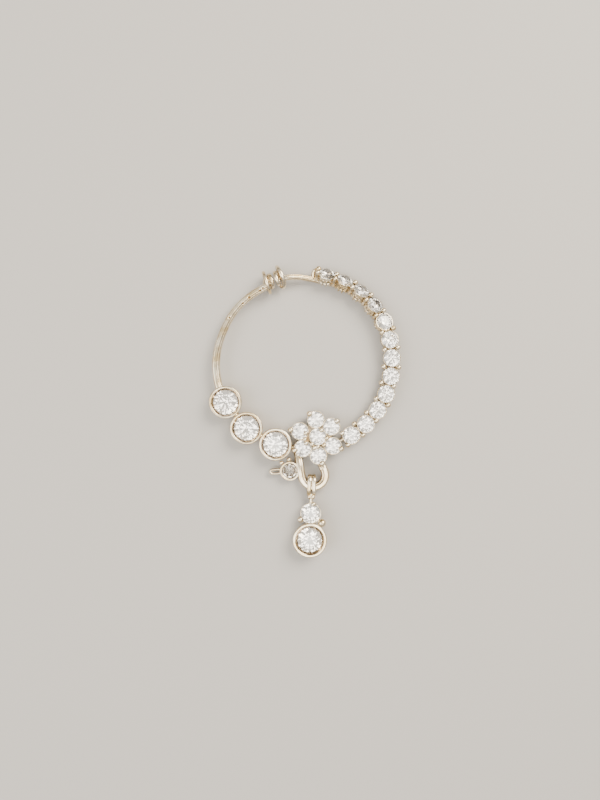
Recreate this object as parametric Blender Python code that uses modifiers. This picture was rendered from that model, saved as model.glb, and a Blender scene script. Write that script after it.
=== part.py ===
# A clip-on nose ring in pale silver-coloured metal with white stones, lying face up on a flat surface.
#
# Units are metres. The hoop is an oval in the XY plane, +Z faces the viewer, and +Y runs from the drop
# to the spiral pads. Turns are angles round the hoop, counter-clockwise from +X. All is laid out from
# the hoop's centre, and an empty then carries the part, so that the origin is its underside's middle.

import math

import bmesh
import bpy
from mathutils import Matrix, Vector

# The hoop, to the middle of its wire
RING_HALF_WIDTH = 0.01408
RING_HALF_HEIGHT = 0.01373
LEFT_WIRE_WIDTH = 0.0011
RIGHT_WIRE_WIDTH = 0.00085
RIGHT_WIRE_JOINT_RISE = 0.0006  # above the base rail, where the thin wire meets the last head

# The two spiral pads that hold the nostril
PAD_TURN = math.radians(109.5)
PAD_OUTSET = 0.0004  # the pads' axis lies this far outside the hoop's wire
PAD_WIRE_WIDTH = 0.00055
PAD_BIG_RADIUS = 0.00168
PAD_SMALL_RADIUS = 0.00085
PAD_LENGTH = 0.00095  # of one cone of turns, along its axis
PAD_TAIL_LENGTH = 0.0008
PAD_GAP = 0.00035
PAD_TURNS = 2

# Stones
ROW_STONE_WIDTH = 0.0027
PETAL_STONE_WIDTH = 0.0026
BEZEL_STONE_WIDTH = 0.00395
DROP_STONE_WIDTH = 0.0031
COLLET_STONE_WIDTH = 0.00226
CULET_CLEARANCE = 0.0001
STONE_CLEARANCE = 0.00006

# The round brilliant cut, as shares of the stone's width
TABLE_SHARE = 0.57
CROWN_SHARE = 0.15
GIRDLE_SHARE = 0.03
PAVILION_SHARE = 0.42
STAR_LENGTH = 0.5
LOWER_HALF_LENGTH = 0.77

# Bezel cups
BEZEL_WIDTH = 0.0052
BEZEL_FOOT_WIDTH = 0.0047
BEZEL_BACK = 0.0003
BEZEL_RIM_RISE = 0.0005  # above the girdle
BEZEL_CHAMFER = 0.00014
BEZEL_GAP = 0.00011
BRIDGE_WIDTH = 0.0009
BRIDGE_BITE = 0.0003  # how far a bridge enters the wall that it is soldered to

# Prong-set heads on their base rail
RAIL_WIDTH = 0.0007
REST_GAP = 0.00002  # between the lowest metal of the row and the surface
CUP_WALL = 0.0001
CUP_FOOT_SHARE = 0.62  # of the cup's radius at its edge
CUP_DROP = 0.0001  # from the girdle down to the cup's edge
HEAD_GAP = 0.00005
PRONG_WIDTH = 0.0004
PRONG_BALL_WIDTH = 0.0007
PRONG_RISE = 0.0003  # of the ball's middle above the girdle
PRONG_SIDE_CLEARANCE = 0.00005
ROW_PRONG_REACH_SHARE = 0.75  # of the stone's radius, to each side of the row
ROW_TWIST = math.radians(44)  # how far the last heads lean outwards
ROW_TWIST_INSET = 0.00015  # of the rail there
ROW_TWIST_START = math.radians(0)
ROW_TWIST_END = math.radians(60)
PLAIN_WIRE_LEAST = 0.0055  # from the last head to the pads

# The flower
FLOWER_TURN = math.radians(280.4)
FLOWER_INSET = 0.00176  # its middle lies inside the hoop's line
FLOWER_PLATE_SHARE = 0.86  # of a petal's pitch
FLOWER_PLATE_THICKNESS = 0.0005
FLOWER_TO_BEZEL_GAP = 0.00042
FLOWER_TO_ROW_GAP = 0.0006
PETAL_GAP = 0.0003
# One row a petal: its direction, its distance as a share of the pitch, and its outer prong's turn from
# that direction
PETALS = (
    {"direction": 97.0, "reach": 0.95, "prong": 38.0},
    {"direction": 36.5, "reach": 0.93, "prong": 4.0},
    {"direction": -32.0, "reach": 0.97, "prong": 14.0},
    {"direction": -88.5, "reach": 1.05, "prong": 24.0},
    {"direction": -142.0, "reach": 1.06, "prong": -26.0},
    {"direction": 163.0, "reach": 1.04, "prong": 8.0},
)

# The drop's loop, a bent wire with both ends under the flower
LOOP_WIRE_WIDTH = 0.00105
LOOP_RADIUS = 0.00192
LOOP_BELOW_FLOWER = 0.00619
LOOP_LEFT_OF_FLOWER = 0.00069
LOOP_LEFT_END = math.radians(193)
LOOP_RIGHT_END = math.radians(395)
LOOP_ROOT_SPREAD = 0.0039  # from the flower's place on the hoop to the left leg's root

# The small open collet and its eyelet
COLLET_WALL = 0.00028
COLLET_HEIGHT = 0.0011
COLLET_FLOOR = 0.0004
COLLET_BITE = 0.00035
COLLET_BELOW_ROOT = 0.0034
COLLET_CLAWS = (math.radians(94), math.radians(135))
COLLET_CLAW_REACH = 0.00185
EYELET_LENGTH = 0.00184
EYELET_WIDTH = 0.00106
EYELET_WIRE_WIDTH = 0.0003
EYELET_TURN = math.radians(183)

# The drop
HANG_TURN = math.radians(260.4)
DROP_LEAN = math.radians(-2.07)
BAIL_HEIGHT = 0.0025
BAIL_BAR_WIDTH = 0.00056
BAIL_BAR_THICKNESS = 0.00045
BAIL_SLIT = 0.00014
BAIL_ABOVE = 0.0022  # from the loop's wire to the bail's far end
BAIL_BELOW = 0.0015
STEM_WIDTH = 0.0006
STEM_BEAD_WIDTH = 0.00062
HANG_TO_UPPER_STONE = 0.00416
DROP_STONE_PITCH = 0.00426
DROP_PRONG_TURNS = (math.radians(82), math.radians(204), math.radians(322))
DROP_PRONG_BALL_WIDTH = 0.0009

# Fineness
BEZEL_STEPS = 24
CUP_STEPS = 12
PRONG_STEPS = 8
RAIL_SPACING = 0.0014
TURN_STEP = math.radians(0.02)

RAIL_HEIGHT = RAIL_WIDTH / 2 + REST_GAP
WIRE_HEIGHT = PAD_BIG_RADIUS + PAD_WIRE_WIDTH / 2
LOOP_HEIGHT = BAIL_HEIGHT / 2 + REST_GAP
UP = Vector((0, 0, 1))


def clear_scene():
    for obj in list(bpy.data.objects):
        bpy.data.objects.remove(obj)


def new_collection(name):
    collection = bpy.data.collections.new(name)
    bpy.context.scene.collection.children.link(collection)
    return collection


def new_material(name, colour, roughness, metallic, transmission):
    material = bpy.data.materials.new(name)
    material.use_nodes = True
    shader = material.node_tree.nodes["Principled BSDF"]
    shader.inputs["Base Color"].default_value = (*colour, 1)
    shader.inputs["Roughness"].default_value = roughness
    shader.inputs["Metallic"].default_value = metallic
    shader.inputs["Transmission Weight"].default_value = transmission
    material.diffuse_color = (*colour, 1)
    return material


def silver():
    return new_material("pale_silver_plate", (0.80, 0.73, 0.60), 0.18, 1.0, 0.0)


def white_stone():
    material = new_material("white_cubic_zirconia", (0.95, 0.95, 0.96), 0.02, 0.0, 0.9)
    material.node_tree.nodes["Principled BSDF"].inputs["IOR"].default_value = 2.16
    return material


def place(name, mesh, collection, material, matrix=None, smooth=True):
    obj = bpy.data.objects.new(name, mesh)
    collection.objects.link(obj)
    if matrix is not None:
        obj.matrix_world = matrix
    if not mesh.materials:
        mesh.materials.append(material)
    if smooth:
        mesh.shade_smooth()
        mesh.set_sharp_from_angle(angle=math.radians(40))
    return obj


def tube(name, points, width, sides, collection, material, cyclic=False):
    """A round wire along the points, made a mesh with its caps welded on."""
    curve = bpy.data.curves.new(name, "CURVE")
    curve.dimensions = "3D"
    curve.bevel_depth = width / 2
    curve.bevel_resolution = (sides - 4) // 2
    curve.use_fill_caps = not cyclic
    spline = curve.splines.new("POLY")
    spline.points.add(len(points) - 1)
    for spot, point in zip(spline.points, points):
        spot.co = (*point, 1)
    spline.use_cyclic_u = cyclic
    return meshed_curve(name, curve, collection, material)


def meshed_curve(name, curve, collection, material, matrix=None):
    """The mesh of a curve, with its caps welded on, in the curve's place."""
    guide = bpy.data.objects.new(name + "_guide", curve)
    bpy.context.scene.collection.objects.link(guide)
    graph = bpy.context.evaluated_depsgraph_get()
    mesh = bpy.data.meshes.new_from_object(guide.evaluated_get(graph))
    bpy.data.objects.remove(guide)
    mesh.name = name
    work = bmesh.new()
    work.from_mesh(mesh)
    bmesh.ops.remove_doubles(work, verts=work.verts, dist=1e-7)
    bmesh.ops.recalc_face_normals(work, faces=work.faces)
    work.to_mesh(mesh)
    work.free()
    return place(name, mesh, collection, material, matrix)


def turned(name, profile, steps, closed, collection, material, matrix):
    """The profile's (radius, height) points turned round the local Z axis by a Screw modifier."""
    mesh = bpy.data.meshes.new(name)
    count = len(profile)
    edges = [(i, (i + 1) % count) for i in range(count if closed else count - 1)]
    mesh.from_pydata([(radius, 0, height) for radius, height in profile], edges, [])
    obj = place(name, mesh, collection, material, matrix, smooth=False)
    screw = obj.modifiers.new("turn", "SCREW")
    screw.steps = steps
    screw.render_steps = steps
    screw.use_merge_vertices = True
    screw.merge_threshold = 1e-7
    screw.use_smooth_shade = True
    return obj


def disc(name, radius, thickness, collection, material, matrix):
    mesh = bpy.data.meshes.new(name)
    work = bmesh.new()
    bmesh.ops.create_cone(
        work,
        cap_ends=True,
        segments=BEZEL_STEPS,
        radius1=radius,
        radius2=radius,
        depth=thickness,
        matrix=Matrix.Translation((0, 0, thickness / 2)),
    )
    work.to_mesh(mesh)
    work.free()
    return place(name, mesh, collection, material, matrix)


def soldered(name, pieces, collection, material):
    """One solid from all the pieces of a collection, which stay as its hidden operands."""
    first, *others = list(pieces.objects)
    solid = bpy.data.objects.new(name, first.data)
    solid.matrix_world = first.matrix_world
    collection.objects.link(solid)
    for modifier in first.modifiers:
        copy = solid.modifiers.new(modifier.name, modifier.type)
        for setting in ("steps", "render_steps", "use_merge_vertices", "merge_threshold", "use_smooth_shade"):
            setattr(copy, setting, getattr(modifier, setting))
    bpy.data.objects.remove(first)
    for piece in others:
        piece.hide_render = True
        piece.display_type = "WIRE"
    union = solid.modifiers.new("solder", "BOOLEAN")
    union.operation = "UNION"
    union.operand_type = "COLLECTION"
    union.collection = pieces
    union.solver = "EXACT"
    return solid


# The hoop's line


def ring_directions(turn):
    """Outwards and along the hoop, counter-clockwise, at a turn."""
    along = Vector((-RING_HALF_WIDTH * math.sin(turn), RING_HALF_HEIGHT * math.cos(turn), 0)).normalized()
    return Vector((along.y, -along.x, 0)), along


def ring_point(turn, height=0.0, outset=0.0):
    outward, _ = ring_directions(turn)
    oval = Vector((RING_HALF_WIDTH * math.cos(turn), RING_HALF_HEIGHT * math.sin(turn), height))
    return oval + outward * outset


def turn_for(length):
    """The turn that a short length of the hoop takes."""
    return 2 * length / (RING_HALF_WIDTH + RING_HALF_HEIGHT)


def first_clear_turn(turn, way, radius, taken, gap):
    """The first turn, stepping this way, where a circle on the hoop is clear of those taken."""
    while any((ring_point(turn) - middle).length < radius + other + gap for middle, other in taken):
        turn += way * TURN_STEP
    return turn


def ease(share):
    """From 0 to 1 with level ends."""
    share = min(max(share, 0), 1)
    return share * share * (3 - 2 * share)


def ring_wire(name, start, end, height_at, width, spacing, collection, material):
    """A round wire along the hoop between two turns."""
    count = max(3, round(abs(end - start) / turn_for(spacing)))
    turns = [start + (end - start) * i / count for i in range(count + 1)]
    points = [ring_point(turn, height_at(i / count)) for i, turn in enumerate(turns)]
    return tube(name, points, width, 8, collection, material)


# Stones


def brilliant(width):
    """A round brilliant with its girdle at Z 0 and its table up: the hull of its facets' corners."""
    radius = width / 2
    crown = CROWN_SHARE * width
    pavilion = PAVILION_SHARE * width
    half_girdle = GIRDLE_SHARE * width / 2
    eighth = math.pi / 8
    table_flat = TABLE_SHARE * math.cos(eighth)
    star = table_flat + STAR_LENGTH * (1 - table_flat)
    star_height = crown * (1 - star * math.cos(eighth)) / (1 - TABLE_SHARE)
    lower = 1 - LOWER_HALF_LENGTH
    lower_depth = pavilion * (1 - lower * math.cos(eighth))
    # Each ring of corners: how many, its share of the radius, its height, and its turn in eighths
    rings = (
        (8, TABLE_SHARE, half_girdle + crown, 0),
        (8, star, half_girdle + star_height, 1),
        (16, 1, half_girdle, 0),
        (16, 1, -half_girdle, 0),
        (8, lower, -half_girdle - lower_depth, 1),
    )
    mesh = bpy.data.meshes.new(f"brilliant_{width * 1000:.2f}")
    work = bmesh.new()
    for count, share, height, offset in rings:
        for i in range(count):
            turn = 2 * math.pi * i / count + offset * eighth
            work.verts.new((share * radius * math.cos(turn), share * radius * math.sin(turn), height))
    work.verts.new((0, 0, -half_girdle - pavilion))
    bmesh.ops.convex_hull(work, input=work.verts)
    bmesh.ops.recalc_face_normals(work, faces=work.faces)
    work.to_mesh(mesh)
    work.free()
    return mesh


def pavilion_radius(width, depth):
    """The stone's radius at a depth below its girdle's middle."""
    share = 1 - (depth - GIRDLE_SHARE * width / 2) / (PAVILION_SHARE * width)
    return max(share, 0) * width / 2


def seat_rise(width):
    """From the base rail's axis up to the girdle, so that the culet clears the rail."""
    return (GIRDLE_SHARE / 2 + PAVILION_SHARE) * width + CULET_CLEARANCE + RAIL_WIDTH / 2


# Settings


def cup_radius(width):
    """The outer radius of a head's cup at its edge."""
    seat = pavilion_radius(width, cup_top(width)) + STONE_CLEARANCE
    return seat / math.cos(math.pi / CUP_STEPS) + CUP_WALL


def cup_top(width):
    return GIRDLE_SHARE * width / 2 + CUP_DROP


def head_cup(name, width, seat, collection, material):
    """The open cone under a prong-set stone. Its Z 0 is the stone's girdle."""
    top = -cup_top(width)
    foot = REST_GAP - seat_rise(width)
    edge = cup_radius(width)
    profile = (
        (edge, top),
        (edge * CUP_FOOT_SHARE, foot),
        (edge * 0.34, foot),
        (edge - CUP_WALL, top),
    )
    return turned(name, profile, CUP_STEPS, True, collection, material, seat)


def prong(name, foot, tip, collection, material, ball_width=PRONG_BALL_WIDTH, width=PRONG_WIDTH):
    """A straight post with a round ball on its tip."""
    length = (tip - foot).length
    ball = ball_width / 2
    neck = math.sqrt(max(ball**2 - (width / 2) ** 2, 0))
    profile = (
        (0, length + ball),
        (0.71 * ball, length + 0.71 * ball),
        (ball, length),
        (width / 2, length - neck),
        (width / 2, 0),
        (0, 0),
    )
    matrix = Matrix.Translation(foot) @ (tip - foot).to_track_quat("Z", "Y").to_matrix().to_4x4()
    return turned(name, profile, PRONG_STEPS, False, collection, material, matrix)


def girdle_height_in_bezel():
    return BEZEL_BACK + CULET_CLEARANCE + (PAVILION_SHARE + GIRDLE_SHARE / 2) * BEZEL_STONE_WIDTH


def bezel_cup(name, middle, collection, material):
    """A turned cup with a flat closed back on the surface and a plain rim round the stone."""
    girdle = girdle_height_in_bezel()
    rim = girdle + BEZEL_RIM_RISE
    pocket = (BEZEL_STONE_WIDTH / 2 + STONE_CLEARANCE) / math.cos(math.pi / BEZEL_STEPS)
    well = pocket * 0.15
    profile = (
        (0, BEZEL_BACK),
        (well, BEZEL_BACK),
        (pocket, girdle - CUP_DROP - GIRDLE_SHARE * BEZEL_STONE_WIDTH / 2),
        (pocket, rim),
        (BEZEL_WIDTH / 2 - BEZEL_CHAMFER, rim),
        (BEZEL_WIDTH / 2, rim - BEZEL_CHAMFER),
        (BEZEL_FOOT_WIDTH / 2, 0),
        (0, 0),
    )
    return turned(name, profile, BEZEL_STEPS, False, collection, material, Matrix.Translation(middle))


def bridge(name, start, end, start_radius, end_radius, height, collection, material):
    """A short bar of solder between two settings, a little way into the wall of each."""
    way = (end - start).normalized()
    lift = UP * height
    points = [
        start + way * (start_radius - BRIDGE_BITE) + lift,
        end - way * (end_radius - BRIDGE_BITE) + lift,
    ]
    return tube(name, points, BRIDGE_WIDTH, 8, collection, material)


# Where things go


def lay_out_flower():
    """The flower's middle, its pitch, and each petal's middle."""
    middle = ring_point(FLOWER_TURN, outset=-FLOWER_INSET)
    pitch = PETAL_STONE_WIDTH + PETAL_GAP
    petals = []
    for petal in PETALS:
        direction = math.radians(petal["direction"])
        offset = Vector((math.cos(direction), math.sin(direction), 0)) * (petal["reach"] * pitch)
        petals.append(middle + offset)
    return middle, pitch, petals


def lay_out_ring(petals):
    """The turns of the three bezels to the flower's left and of the row to its right."""
    taken = [(petal, cup_radius(PETAL_STONE_WIDTH)) for petal in petals]
    bezels = []
    turn = FLOWER_TURN
    gap = FLOWER_TO_BEZEL_GAP
    for _ in range(3):
        turn = first_clear_turn(turn, -1, BEZEL_WIDTH / 2, taken, gap)
        taken.append((ring_point(turn), BEZEL_WIDTH / 2))
        bezels.append(turn)
        gap = BEZEL_GAP
    radius = cup_radius(ROW_STONE_WIDTH)
    row = []
    turn = FLOWER_TURN
    gap = FLOWER_TO_ROW_GAP
    last = PAD_TURN + 2 * math.pi - turn_for(PLAIN_WIRE_LEAST)
    while True:
        turn = first_clear_turn(turn, 1, radius, taken, gap)
        if turn > last:
            break
        taken.append((ring_point(turn), radius))
        row.append(turn)
        gap = HEAD_GAP
    return bezels, row


def row_lean_share(turn):
    """From 0, upright, to 1 where the row is fully twisted."""
    return ease((turn - 2 * math.pi - ROW_TWIST_START) / (ROW_TWIST_END - ROW_TWIST_START))


def row_base(turn):
    """The rail's middle. It rises where the heads lean, so that their feet clear the surface."""
    share = row_lean_share(turn)
    foot = cup_radius(ROW_STONE_WIDTH) * CUP_FOOT_SHARE * math.sin(ROW_TWIST * share)
    return ring_point(turn, max(RAIL_HEIGHT, foot + REST_GAP), -ROW_TWIST_INSET * share)


def row_seat(turn):
    """The place of a head in the row: its girdle's middle, leaning outwards towards the row's end."""
    lean = ROW_TWIST * row_lean_share(turn)
    outward, along = ring_directions(turn)
    axis = UP * math.cos(lean) + outward * math.sin(lean)
    across = outward * math.cos(lean) - UP * math.sin(lean)
    seat = Matrix((across, along, axis)).transposed().to_4x4()
    seat.translation = row_base(turn) + axis * seat_rise(ROW_STONE_WIDTH)
    return seat


# The parts of the hoop


def add_pads_and_wires(first_bezel, last_head, pieces, metal):
    outward, along = ring_directions(PAD_TURN)
    middle = ring_point(PAD_TURN, WIRE_HEIGHT, PAD_OUTSET)
    face = (PAD_GAP + PAD_WIRE_WIDTH) / 2
    steps = 14
    for name, side in (("left", 1), ("right", -1)):
        points = []
        total = PAD_TURNS * steps + steps // 4
        for i in range(total + 1):
            share = min(i / (PAD_TURNS * steps), 1)
            tail = max(i - PAD_TURNS * steps, 0) / (steps // 4)
            spin = math.pi * (1 + side * 2 * i / steps)
            radius = PAD_SMALL_RADIUS + (PAD_BIG_RADIUS - PAD_SMALL_RADIUS) * share
            radius += (PAD_OUTSET * 1.4 - radius) * ease(tail)
            reach = face + PAD_LENGTH * share + PAD_TAIL_LENGTH * tail
            points.append(
                middle
                + along * (side * reach)
                + outward * (radius * math.cos(spin))
                + UP * (radius * math.sin(spin))
            )
        tube(name + "_pad", points, PAD_WIRE_WIDTH, 6, pieces, metal)
    wire_end = turn_for(face)
    ring_wire(
        "left_wire",
        first_bezel - turn_for(BEZEL_WIDTH / 2 - BRIDGE_BITE),
        PAD_TURN + wire_end,
        lambda share: WIRE_HEIGHT,
        LEFT_WIRE_WIDTH,
        0.0012,
        pieces,
        metal,
    )
    head_edge = cup_radius(ROW_STONE_WIDTH) * 0.62
    ring_wire(
        "right_wire",
        PAD_TURN - wire_end,
        last_head - 2 * math.pi + turn_for(head_edge),
        lambda share: WIRE_HEIGHT + (RAIL_HEIGHT + RIGHT_WIRE_JOINT_RISE - WIRE_HEIGHT) * ease(share),
        RIGHT_WIRE_WIDTH,
        0.0009,
        pieces,
        metal,
    )


def add_bezels(bezels, pieces, metal):
    middles = [ring_point(turn) for turn in bezels]
    for number, middle in enumerate(middles, 1):
        bezel_cup(f"bezel_cup_{number}", middle, pieces, metal)
    height = girdle_height_in_bezel()
    wall = BEZEL_WIDTH / 2
    for number, (start, end) in enumerate(zip(middles, middles[1:]), 1):
        bridge(f"bezel_bridge_{number}", start, end, wall, wall, height, pieces, metal)
    return middles


def add_rail(bezel, row, pieces, metal):
    """The wire under the flower and the row, from the first bezel's wall to past the last head."""
    start = bezel + turn_for(BEZEL_FOOT_WIDTH / 2 - BRIDGE_BITE)
    end = row[-1] + (row[-1] - row[-2]) / 2 + turn_for(PRONG_WIDTH)
    count = round((end - start) / turn_for(RAIL_SPACING))
    points = [row_base(start + (end - start) * i / count) for i in range(count + 1)]
    tube("base_rail", points, RAIL_WIDTH, 8, pieces, metal)


def add_row(row, pieces, metal):
    for number, turn in enumerate(row, 1):
        head_cup(f"row_cup_{number:02}", ROW_STONE_WIDTH, row_seat(turn), pieces, metal)
    half_pitch = (row[-1] - row[-2]) / 2
    joints = [row[0] - half_pitch]
    joints += [(a + b) / 2 for a, b in zip(row, row[1:])]
    joints.append(row[-1] + half_pitch)
    reach = ROW_PRONG_REACH_SHARE * ROW_STONE_WIDTH / 2
    for number, turn in enumerate(joints, 1):
        seat = row_seat(turn)
        for side, name in ((-1, "inner"), (1, "outer")):
            foot = seat @ Vector((side * RAIL_WIDTH / 5, 0, -seat_rise(ROW_STONE_WIDTH)))
            tip = seat @ Vector((side * reach, 0, PRONG_RISE))
            prong(f"row_prong_{name}_{number:02}", foot, tip, pieces, metal)


def outer_prong(name, middle, direction, width, pieces, metal, ball_width=PRONG_BALL_WIDTH):
    """A prong that starts in a head's cup and passes its stone's girdle."""
    way = Vector((math.cos(direction), math.sin(direction), 0))
    rise = seat_rise(width)
    girdle = RAIL_HEIGHT + rise
    past = width / 2 + PRONG_SIDE_CLEARANCE + PRONG_WIDTH / 2
    foot_radius = cup_radius(width) * 0.72
    foot_depth = rise * 0.7
    slope = (past - foot_radius) / foot_depth
    foot = middle + way * foot_radius + UP * (girdle - foot_depth)
    tip = middle + way * (past + slope * PRONG_RISE) + UP * (girdle + PRONG_RISE)
    prong(name, foot, tip, pieces, metal, ball_width)


def add_flower(middle, pitch, petals, pieces, metal):
    plate = FLOWER_PLATE_SHARE * pitch
    disc("flower_plate", plate, FLOWER_PLATE_THICKNESS, pieces, metal, Matrix.Translation(middle))
    lift = RAIL_HEIGHT + seat_rise(PETAL_STONE_WIDTH)
    for number, spot in enumerate([middle, *petals]):
        seat = Matrix.Translation(spot + UP * lift)
        head_cup(f"flower_cup_{number}", PETAL_STONE_WIDTH, seat, pieces, metal)
    for number, (spot, petal) in enumerate(zip(petals, PETALS), 1):
        direction = math.radians(petal["direction"] + petal["prong"])
        outer_prong(f"petal_prong_{number}", spot, direction, PETAL_STONE_WIDTH, pieces, metal)
    for number, (one, two) in enumerate(zip(petals, petals[1:] + petals[:1]), 1):
        hollow = (one + two + middle) / 3
        foot = hollow + UP * (FLOWER_PLATE_THICKNESS / 2)
        tip = hollow + UP * (lift + PRONG_RISE)
        prong(f"inner_prong_{number}", foot, tip, pieces, metal, PRONG_WIDTH, PRONG_WIDTH * 0.75)


def add_loop(flower, petal, root_turn, pieces, metal):
    """The drop's loop: left leg up from the base rail, round below, right leg back under the petal."""
    middle = flower + Vector((-LOOP_LEFT_OF_FLOWER, -LOOP_BELOW_FLOWER, LOOP_HEIGHT))
    low = LOOP_WIRE_WIDTH / 2 + REST_GAP
    root = ring_point(root_turn, low)
    steps = 14
    arc = []
    for i in range(steps + 1):
        turn = LOOP_LEFT_END + (LOOP_RIGHT_END - LOOP_LEFT_END) * i / steps
        arc.append(middle + Vector((math.cos(turn), math.sin(turn), 0)) * LOOP_RADIUS)
    left = []
    for share in (0.0, 0.12, 0.35, 0.65):
        point = root.lerp(arc[0], share)
        point.z = low + (LOOP_HEIGHT - low) * ease(share / 0.65)
        left.append(point)
    cup_edge = cup_radius(PETAL_STONE_WIDTH)
    end = petal + (arc[-1] - petal).normalized() * (cup_edge * 0.5)
    right = []
    for share in (0.3, 0.6, 0.85, 1.0):
        point = arc[-1].lerp(end, share)
        point.z = LOOP_HEIGHT + (low - LOOP_HEIGHT) * ease(share / 0.85)
        right.append(point)
    tube("drop_loop", left + arc + right, LOOP_WIRE_WIDTH, 8, pieces, metal)
    return middle, root, arc[0]


def add_collet(root, knee, pieces, metal):
    """The small open collet on the left leg, with two bent claws and an eyelet. Returns its middle."""
    way = (knee - root).to_2d().normalized()
    leg = Vector((way.x, way.y, 0))
    side = Vector((leg.y, -leg.x, 0))
    inner = (COLLET_STONE_WIDTH / 2 + STONE_CLEARANCE) / math.cos(math.pi / CUP_STEPS)
    outer = inner + COLLET_WALL
    spot = Vector((root.x, root.y, 0)) + leg * COLLET_BELOW_ROOT
    middle = spot + side * (outer + LOOP_WIRE_WIDTH / 2 - COLLET_BITE)
    top = COLLET_FLOOR + COLLET_HEIGHT
    profile = ((outer, top), (outer, COLLET_FLOOR), (inner, COLLET_FLOOR), (inner, top))
    turned("collet", profile, CUP_STEPS, True, pieces, metal, Matrix.Translation(middle))
    for number, turn in enumerate(COLLET_CLAWS, 1):
        out = Vector((math.cos(turn), math.sin(turn), 0))
        foot = middle + out * (inner + COLLET_WALL / 2) + UP * (top - PRONG_WIDTH)
        tip = middle + out * COLLET_CLAW_REACH + UP * top
        prong(f"collet_claw_{number}", foot, tip, pieces, metal, PRONG_BALL_WIDTH * 0.8, PRONG_WIDTH * 0.8)
    out = Vector((math.cos(EYELET_TURN), math.sin(EYELET_TURN), 0))
    across = Vector((-out.y, out.x, 0))
    length = (EYELET_LENGTH - EYELET_WIRE_WIDTH) / 2
    width = (EYELET_WIDTH - EYELET_WIRE_WIDTH) / 2
    centre = middle + out * (outer + EYELET_LENGTH / 2 - EYELET_WIRE_WIDTH) + UP * (COLLET_FLOOR + COLLET_HEIGHT / 2)
    points = []
    for i in range(12):
        turn = 2 * math.pi * i / 12
        straight = math.copysign(length - width, math.cos(turn)) if i % 6 != 3 else 0
        points.append(centre + out * (straight + width * math.cos(turn)) + across * (width * math.sin(turn)))
    tube("eyelet", points, EYELET_WIRE_WIDTH, 6, pieces, metal, cyclic=True)
    return middle


# The drop


def bail_bar(name, side, hang, pieces, metal):
    """One of the bail's two flat bars: an oval outline with an oval hole, stood on edge."""
    curve = bpy.data.curves.new(name, "CURVE")
    curve.dimensions = "2D"
    curve.fill_mode = "BOTH"
    curve.extrude = BAIL_BAR_WIDTH / 2
    half = BAIL_HEIGHT / 2
    for inset in (0, BAIL_BAR_THICKNESS):
        radius = half - inset
        spline = curve.splines.new("POLY")
        spline.points.add(15)
        for i, spot in enumerate(spline.points):
            turn = 2 * math.pi * (i + 0.5) / 16
            end = BAIL_ABOVE - half if math.cos(turn) > 0 else half - BAIL_BELOW
            spot.co = (end + radius * math.cos(turn), radius * math.sin(turn), 0, 1)
        spline.use_cyclic_u = True
    # The outline's X runs along the drop, its Y up, and its thickness across the drop.
    stood = Matrix(((0, 0, 1), (1, 0, 0), (0, 1, 0))).to_4x4()
    across = Matrix.Translation((side * (BAIL_BAR_WIDTH + BAIL_SLIT) / 2, 0, 0))
    return meshed_curve(name, curve, pieces, metal, hang @ across @ stood)


def add_drop(hang, pieces, metal):
    """The drop's metal, in its own frame: the loop's wire at its origin, and the drop along -Y."""
    for name, side in (("left", -1), ("right", 1)):
        bail_bar(f"bail_{name}", side, hang, pieces, metal)
    floor = Matrix.Translation((0, 0, -LOOP_HEIGHT))
    upper = hang @ floor @ Vector((0, -HANG_TO_UPPER_STONE, 0))
    lower = hang @ floor @ Vector((0, -HANG_TO_UPPER_STONE - DROP_STONE_PITCH, 0))
    edge = cup_radius(DROP_STONE_WIDTH)
    stem_end = -HANG_TO_UPPER_STONE + edge * 0.72
    stem = [hang @ Vector((0, y, 0)) for y in (-BAIL_BELOW + BAIL_BAR_THICKNESS / 2, stem_end)]
    tube("stem", stem, STEM_WIDTH, 8, pieces, metal)
    for number, x in enumerate((-1, 1), 1):
        bead_spot = hang @ Vector((x * STEM_BEAD_WIDTH * 0.36, -BAIL_BELOW, 0))
        bead(f"stem_bead_{number}", bead_spot, STEM_BEAD_WIDTH, pieces, metal)
    seat = Matrix.Translation(upper + UP * (RAIL_HEIGHT + seat_rise(DROP_STONE_WIDTH)))
    head_cup("drop_head", DROP_STONE_WIDTH, seat, pieces, metal)
    for number, turn in enumerate(DROP_PRONG_TURNS, 1):
        ball = DROP_PRONG_BALL_WIDTH if turn == max(DROP_PRONG_TURNS) else PRONG_BALL_WIDTH
        outer_prong(f"drop_prong_{number}", upper, turn + DROP_LEAN, DROP_STONE_WIDTH, pieces, metal, ball)
    bezel_cup("drop_bezel", lower, pieces, metal)
    height = RAIL_HEIGHT + BRIDGE_WIDTH / 2
    bridge("drop_bridge", upper, lower, edge * 0.8, BEZEL_FOOT_WIDTH / 2, height, pieces, metal)
    return upper, lower


def bead(name, spot, width, collection, material):
    mesh = bpy.data.meshes.new(name)
    work = bmesh.new()
    bmesh.ops.create_uvsphere(work, u_segments=10, v_segments=6, radius=width / 2)
    work.to_mesh(mesh)
    work.free()
    return place(name, mesh, collection, material, Matrix.Translation(spot))


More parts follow.
